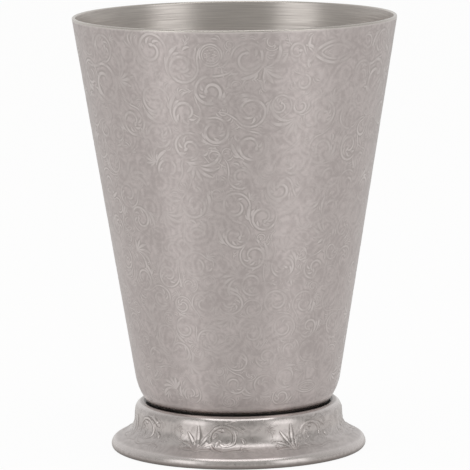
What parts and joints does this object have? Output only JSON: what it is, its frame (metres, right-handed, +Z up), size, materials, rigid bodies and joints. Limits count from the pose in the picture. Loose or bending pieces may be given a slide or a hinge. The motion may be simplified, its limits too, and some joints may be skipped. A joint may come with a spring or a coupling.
{
  "type": "footed julep cup",
  "caption": "Tapered metal drinking cup with a rounded rim and heel, etched with scroll ornament outside, brazed onto a flared stamped foot with a rounded shoulder.",
  "frame": {"origin": "centre of the ring that the foot stands on, at table level", "axes": "+Z up along the turning axis towards the mouth; +X and +Y lie in the table plane, the picture looks along +Y"},
  "size_m": [0.0854, 0.0854, 0.115],
  "materials": {
    "etched_steel": "antique satin stainless steel, etched scroll ornament outside, turned brush lines inside",
    "stamped_steel": "antique stainless steel, burnished, with the same etched ornament on its outer face",
    "braze_alloy": "dull silver-copper brazing filler, as it ran"
  },
  "bodies": {
    "root": {"cup": "etched_steel", "foot": "stamped_steel", "braze_ring": "braze_alloy"}
  },
  "joints": []
}
